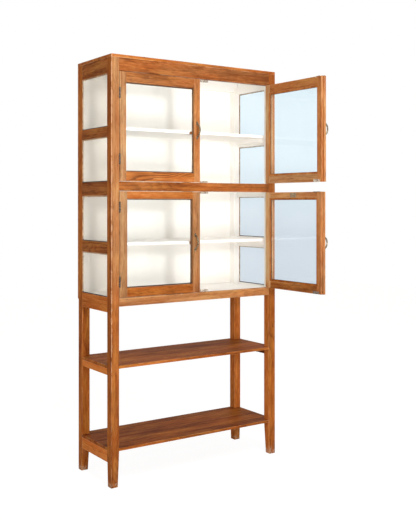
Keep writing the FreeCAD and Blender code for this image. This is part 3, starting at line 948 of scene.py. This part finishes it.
def make_putty_round(node):
    """Chamfered strip of putty, with thumbed corners, between each pane of a node and its frame."""
    out = outward_direction(node)
    piece = copy_of_node(node, node + ".putty")
    select_only(piece)
    bpy.ops.object.mode_set(mode="EDIT")
    bpy.ops.mesh.select_mode(type="FACE")
    bpy.ops.mesh.select_all(action="DESELECT")
    mesh = bmesh.from_edit_mesh(piece.data)
    middles = []
    for face in mesh.faces:
        face.select_set(face.normal.dot(out) < flat_on)
        if not face.select:
            middles.append(face.calc_center_median())
    bpy.ops.mesh.delete(type="FACE")
    for width in (pane_edge, putty_width):
        bpy.ops.mesh.select_all(action="SELECT")
        bpy.ops.mesh.inset(thickness=width, depth=0, use_individual=True)
        if width == pane_edge:
            bpy.ops.mesh.select_all(action="INVERT")
        bpy.ops.mesh.delete(type="FACE")
    bpy.ops.mesh.select_all(action="SELECT")
    extrude_by(out * putty_depth)

    def faces_the_middle(face):
        centre = face.calc_center_median()
        nearest = min(middles, key=lambda middle: (middle - centre).length)
        return abs(face.normal.dot(out)) < edge_on and (nearest - centre).dot(face.normal) > 0

    def is_corner(edge):
        return len(edge.link_faces) == 2 and all(faces_the_middle(face) for face in edge.link_faces)

    def is_inner_rim(edge):
        walls = [face for face in edge.link_faces if faces_the_middle(face)]
        tops = [face for face in edge.link_faces if face.normal.dot(out) > flat_on]
        return len(walls) == 1 and len(tops) == 1

    face_outwards()
    pick_edges(piece, is_corner)
    bpy.ops.mesh.bevel(offset=putty_corner, segments=putty_corner_steps, affect="EDGES", clamp_overlap=False)
    pick_edges(piece, is_inner_rim)
    bpy.ops.mesh.bevel(offset=putty_chamfer, segments=1, affect="EDGES", clamp_overlap=False)
    bpy.ops.object.mode_set(mode="OBJECT")
    mark_dirt(piece, middles)
    piece.data.materials.append(putty_of_panes.get(node, brown_putty))
    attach(piece, body_of_node[node])


def start_with_circle(sides, radius, place, turn, fill="NOTHING"):
    """Circle turned about X, as the only thing selected and open for editing."""
    bpy.ops.object.select_all(action="DESELECT")
    bpy.ops.mesh.primitive_circle_add(vertices=sides, radius=radius, fill_type=fill, location=place,
                                      rotation=(turn, 0, 0))
    made = bpy.context.object
    bpy.ops.object.transform_apply(location=True, rotation=True, scale=True)
    bpy.ops.object.mode_set(mode="EDIT")
    return made


def make_arch(x, face_y, middle_z):
    """Round rod swept over an arch, thinner towards its feet and with a collar near each."""
    half = math.radians(arch_half_angle)
    centre = Vector((x, face_y + arch_centre_behind, middle_z))
    start = centre + Vector((0, -arch_radius * math.cos(half), -arch_radius * math.sin(half)))
    rod = start_with_circle(rod_sides, rod_radius, start, half)
    bpy.ops.mesh.select_all(action="SELECT")
    bpy.ops.mesh.spin(steps=arch_steps, angle=2 * half, center=centre, axis=(1, 0, 0))

    def climb(point):
        """Angle of a point round the arch, from nothing at the crown."""
        return abs(math.degrees(math.atan2(point.co.z - centre.z, centre.y - point.co.y)))

    face_outwards()
    for from_angle, to_angle, swell in rod_swells:
        pick_points(rod, lambda point: from_angle < climb(point) < to_angle)
        bpy.ops.transform.shrink_fatten(value=swell)
    bpy.ops.mesh.select_all(action="SELECT")
    bpy.ops.mesh.bisect(plane_co=(x, face_y - rod_end_gap, middle_z), plane_no=(0, 1, 0),
                        clear_outer=True, use_fill=True)
    face_outwards()
    bpy.ops.object.mode_set(mode="OBJECT")
    bpy.ops.object.shade_smooth_by_angle(angle=math.radians(rod_smoothing))
    return rod


def make_leaf(x, face_y, foot_z, away):
    """Leaf-shaped plate under one foot of the arch, with its point turned away from the middle."""
    centre = (x, face_y, foot_z)
    leaf = start_with_circle(leaf_sides, leaf_width / 2, centre, math.radians(90), "NGON")
    pick_points(leaf, place_beyond(2, foot_z, away))
    bpy.ops.transform.resize(value=(1, 1, 2 * leaf_length / leaf_width), center_override=centre)
    pick_points(leaf, place_beyond(2, foot_z + away * leaf_length * leaf_point_from, away))
    bpy.ops.transform.resize(value=(leaf_point_narrowing, 1, 1), center_override=centre)
    pick_points(leaf, place_beyond(2, foot_z, -away))
    shrink = (leaf_tail_narrowing, 1, 2 * leaf_tail / leaf_width)
    bpy.ops.transform.resize(value=shrink, center_override=centre)
    bpy.ops.mesh.select_all(action="SELECT")
    extrude_by((0, -leaf_thickness, 0))
    face_outwards()
    front_y = face_y - leaf_thickness
    pick_edges(leaf, lambda edge: all(abs(point.co.y - front_y) < merge_distance for point in edge.verts))
    bpy.ops.mesh.bevel(offset=leaf_easing, segments=leaf_easing_steps, affect="EDGES", clamp_overlap=False)
    bpy.ops.object.mode_set(mode="OBJECT")
    return leaf


def make_screw(x, front_y, z):
    """Domed screw head with a slot, standing on a surface that faces forward."""
    centre = (x, front_y, z)
    screw = start_with_circle(screw_sides, screw_radius, centre, math.radians(90), "NGON")
    bpy.ops.mesh.select_all(action="SELECT")
    extrude_by((0, -screw_step, 0))
    extrude_by((0, -screw_step, 0))
    bpy.ops.transform.resize(value=(screw_narrowing, 1, screw_narrowing), center_override=centre)
    for side in (-1, 1):
        bpy.ops.mesh.select_all(action="SELECT")
        bpy.ops.mesh.bisect(plane_co=(x, front_y, z + side * screw_slot_half_width), plane_no=(0, 0, 1))
    bpy.ops.mesh.select_mode(type="FACE")
    bpy.ops.mesh.select_all(action="DESELECT")
    mesh = bmesh.from_edit_mesh(screw.data)
    for face in mesh.faces:
        middle = face.calc_center_median()
        on_top = middle.y < front_y - 1.5 * screw_step and abs(face.normal.y) > flat_on
        face.select_set(on_top and abs(middle.z - z) < screw_slot_half_width)
    bmesh.update_edit_mesh(screw.data)
    extrude_by((0, screw_slot_depth, 0))
    face_outwards()
    bpy.ops.object.mode_set(mode="OBJECT")
    return screw


def make_pull(x, middle_z):
    """Arched pull with two leaf plates and their screws, on a shut door."""
    foot = arch_radius * math.sin(math.acos((arch_centre_behind + leaf_thickness / 2) / arch_radius))
    parts = [make_arch(x, door_face_y, middle_z)]
    for away in (-1, 1):
        foot_z = middle_z + away * foot
        parts.append(make_leaf(x, door_face_y, foot_z, away))
        screw_z = foot_z + away * leaf_length * screw_along_leaf
        parts.append(make_screw(x, door_face_y - leaf_thickness, screw_z))
    bpy.ops.object.select_all(action="DESELECT")
    for part in parts:
        part.select_set(True)
    bpy.context.view_layer.objects.active = parts[0]
    bpy.ops.object.join()
    return bpy.context.object


def make_pulls():
    """One pull, copied to the meeting stile of each door and turned with it."""
    first = make_pull(0, 0)
    for word, x in pull_x.items():
        body = "door_" + word
        mesh = first.data.copy()
        mesh.transform(Matrix.Translation((x, 0, pull_middle[word.split("_")[0]])))
        hinge = Matrix.Translation((hinge_axis_x, hinge_axis_y, 0))
        turn = Matrix.Rotation(math.radians(rest_angle.get(body, 0.0)), 4, "Z")
        mesh.transform(hinge @ turn @ hinge.inverted())
        mesh.materials.clear()
        mesh.materials.append(antique_brass)
        pull = bpy.data.objects.new(body + "_pull.arched", mesh)
        bpy.context.scene.collection.objects.link(pull)
        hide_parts(body + "_pull")
        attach(pull, body)
    bpy.data.objects.remove(first)


panes = ["side_panes_left", "side_panes_right"] + of_doors("pane")
for node in panes:
    make_putty_round(node)
make_pulls()


def finish_node(node, material):
    """Gives a CAD node that is shown as it is a finer material."""
    for material_slot in frame["nodes"][node].material_slots:
        material_slot.material = material


for node in panes:
    # The left side panes get the brown glass, whose tint is painted shade
    finish_node(node, smoky_glass if node == "side_panes_left" else window_glass)
for word in door_words:
    finish_node("door_" + word + "_hinges", hinge_iron)
    finish_node("door_" + word + "_strikes", painted_steel if word == "upper_right" else dull_steel)
finish_node("door_lower_right_plate", plate_brass)
finish_node("hinge_frame_leaves", hinge_iron)
finish_node("catches", painted_steel)
finish_node("nails", hinge_iron)


def add_softbox(name, place, target, size, power, spread=180.0, colour=(1, 1, 1), mirrored=True):
    """Area light of this width and height that faces a point, and shows in reflections if mirrored."""
    lamp = bpy.data.lights.new(name, "AREA")
    lamp.shape = "RECTANGLE"
    lamp.size, lamp.size_y = size
    lamp.energy = power
    lamp.color = colour
    lamp.spread = math.radians(spread)
    holder = bpy.data.objects.new(name, lamp)
    bpy.context.scene.collection.objects.link(holder)
    holder.visible_glossy = mirrored
    holder.location = place
    holder.rotation_mode = "QUATERNION"
    holder.rotation_quaternion = (Vector(target) - Vector(place)).to_track_quat("-Z", "Y")


def make_floor():
    """Plain floor that is white to the camera and still keeps a soft shadow."""
    bpy.ops.object.select_all(action="DESELECT")
    bpy.ops.mesh.primitive_plane_add(size=floor_size, location=(0, 0, 0))
    floor = bpy.context.object
    floor.name = "studio_floor"
    material, tree, surface, place = new_material("studio_floor")
    surface.inputs["Base Color"].default_value = floor_colour
    surface.inputs["Roughness"].default_value = floor_roughness
    surface.inputs["Specular IOR Level"].default_value = 0.0
    shade = add_node(tree, "BsdfDiffuse", {"Color": floor_shade})
    glow = add_node(tree, "Emission", {"Color": plain_white, "Strength": floor_glow})
    seen = add_node(tree, "AddShader", {0: shade.outputs[0], 1: glow.outputs[0]})
    through = add_node(tree, "Emission", {"Color": pane_blue_low, "Strength": 1.0})
    rays = add_node(tree, "LightPath").outputs
    direct = maths(tree, "MAXIMUM", rays["Is Camera Ray"], rays["Is Glossy Ray"])
    lit = mixed(tree, direct, surface, seen)
    show(tree, mixed(tree, rays["Is Transmission Ray"], lit, through))
    floor.data.materials.append(material)


def make_world():
    """Even fill light, white to the camera and in reflections, and a studio's pale blue through glass."""
    world = bpy.data.worlds.new("studio")
    bpy.context.scene.world = world
    world.use_nodes = True
    tree = world.node_tree
    tree.nodes.clear()
    rays = add_node(tree, "LightPath").outputs
    rise = height_of(tree, add_node(tree, "TexCoord").outputs["Generated"])
    blue = blended(tree, smooth(tree, rise, *horizon), pane_blue_low, pane_blue_high)
    fill = add_node(tree, "Background", {"Color": warm_white, "Strength": world_fill})
    white = add_node(tree, "Background", {"Color": plain_white, "Strength": 1.0})
    through = add_node(tree, "Background", {"Color": blue, "Strength": 1.0})
    direct = maths(tree, "MAXIMUM", rays["Is Camera Ray"], rays["Is Glossy Ray"])
    lit = mixed(tree, direct, fill, white)
    show(tree, mixed(tree, rays["Is Transmission Ray"], lit, through), "OutputWorld")


def make_camera():
    """Camera at the place, heading and lens that the photo was fitted with."""
    lens = bpy.data.cameras.new("photo_view")
    lens.sensor_width = sensor_width
    lens.lens = camera_lens
    lens.shift_y = camera_shift_y
    holder = bpy.data.objects.new("photo_view", lens)
    bpy.context.scene.collection.objects.link(holder)
    holder.location = camera_place
    holder.rotation_euler = (math.radians(90), 0, math.radians(-camera_heading))
    bpy.context.scene.camera = holder


make_floor()
make_world()
make_camera()
for name, settings in lamps.items():
    add_softbox(name, **settings)
bpy.context.scene.view_settings.view_transform = "Standard"
